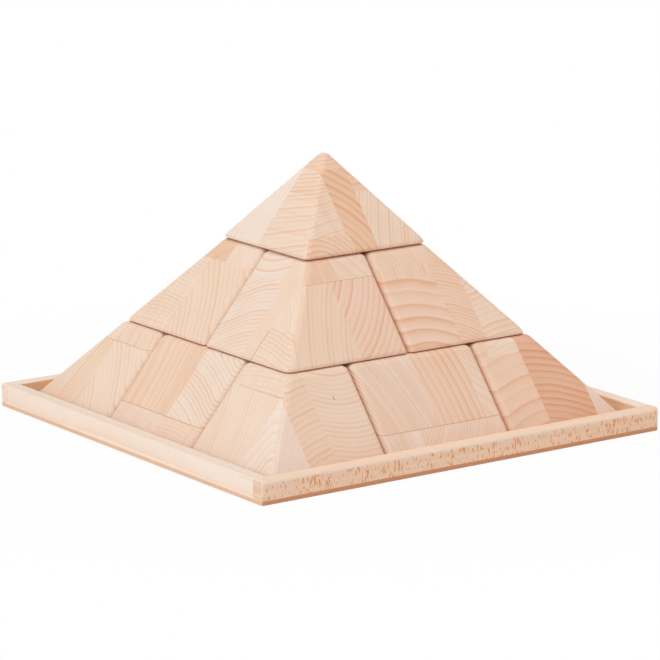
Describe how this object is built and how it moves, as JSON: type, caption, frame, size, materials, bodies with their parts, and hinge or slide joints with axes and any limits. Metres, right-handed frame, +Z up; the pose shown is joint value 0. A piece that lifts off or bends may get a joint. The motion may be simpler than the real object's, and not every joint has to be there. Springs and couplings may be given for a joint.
{
  "type": "stacking block pyramid",
  "caption": "Smooth-sided square pyramid of loose wooden blocks that stack in tiers in a shallow square tray with a plywood floor.",
  "frame": {"origin": "centre of the tray's underside, on the surface that it stands on", "axes": "+Z up to the pyramid's tip; +X to the right and -Y to the front, square to the tray's sides; the full-length rails are the front and back ones"},
  "size_m": [0.325, 0.325, 0.185],
  "materials": {
    "beech_block": "sanded bare beech, glued up from strips, matt",
    "beech_rail": "sanded bare beech with ray flecks, matt",
    "plywood": "bare plywood with a darker edge, matt"
  },
  "bodies": {
    "tray": {"tray_floor": "plywood", "rail_front": "beech_rail", "rail_back": "beech_rail", "rail_left": "beech_rail", "rail_right": "beech_rail", "lower_centre": "beech_block"},
    "capstone": {"capstone": "beech_block"},
    "middle_front_left": {"middle_front_left": "beech_block"},
    "middle_front_right": {"middle_front_right": "beech_block"},
    "middle_back_left": {"middle_back_left": "beech_block"},
    "middle_back_right": {"middle_back_right": "beech_block"},
    "lower_front": {"lower_front": "beech_block"},
    "lower_back": {"lower_back": "beech_block"},
    "lower_left": {"lower_left": "beech_block"},
    "lower_right": {"lower_right": "beech_block"},
    "lower_front_left": {"lower_front_left": "beech_block"},
    "lower_front_right": {"lower_front_right": "beech_block"},
    "lower_back_left": {"lower_back_left": "beech_block"},
    "lower_back_right": {"lower_back_right": "beech_block"}
  },
  "joints": [
    {"name": "capstone_lift", "type": "slide", "parent": "tray", "child": "capstone", "axis": [0, 0, 1], "range_m": [0, 0.0607]},
    {"name": "middle_front_left_slide", "type": "slide", "parent": "tray", "child": "middle_front_left", "axis": [-0.7071, -0.7071, 0], "range_m": [0, 0.0714]},
    {"name": "middle_front_right_slide", "type": "slide", "parent": "tray", "child": "middle_front_right", "axis": [0.7071, -0.7071, 0], "range_m": [0, 0.0714]},
    {"name": "middle_back_left_slide", "type": "slide", "parent": "tray", "child": "middle_back_left", "axis": [-0.7071, 0.7071, 0], "range_m": [0, 0.0714]},
    {"name": "middle_back_right_slide", "type": "slide", "parent": "tray", "child": "middle_back_right", "axis": [0.7071, 0.7071, 0], "range_m": [0, 0.0714]},
    {"name": "lower_front_slide", "type": "slide", "parent": "tray", "child": "lower_front", "axis": [0, -1, 0], "range_m": [0, 0.0017]},
    {"name": "lower_back_slide", "type": "slide", "parent": "tray", "child": "lower_back", "axis": [0, 1, 0], "range_m": [0, 0.0017]},
    {"name": "lower_left_slide", "type": "slide", "parent": "tray", "child": "lower_left", "axis": [-1, 0, 0], "range_m": [0, 0.0017]},
    {"name": "lower_right_slide", "type": "slide", "parent": "tray", "child": "lower_right", "axis": [1, 0, 0], "range_m": [0, 0.0017]},
    {"name": "lower_front_left_slide", "type": "slide", "parent": "tray", "child": "lower_front_left", "axis": [-0.7071, -0.7071, 0], "range_m": [0, 0.0024]},
    {"name": "lower_front_right_slide", "type": "slide", "parent": "tray", "child": "lower_front_right", "axis": [0.7071, -0.7071, 0], "range_m": [0, 0.0024]},
    {"name": "lower_back_left_slide", "type": "slide", "parent": "tray", "child": "lower_back_left", "axis": [-0.7071, 0.7071, 0], "range_m": [0, 0.0024]},
    {"name": "lower_back_right_slide", "type": "slide", "parent": "tray", "child": "lower_back_right", "axis": [0.7071, 0.7071, 0], "range_m": [0, 0.0024]}
  ]
}
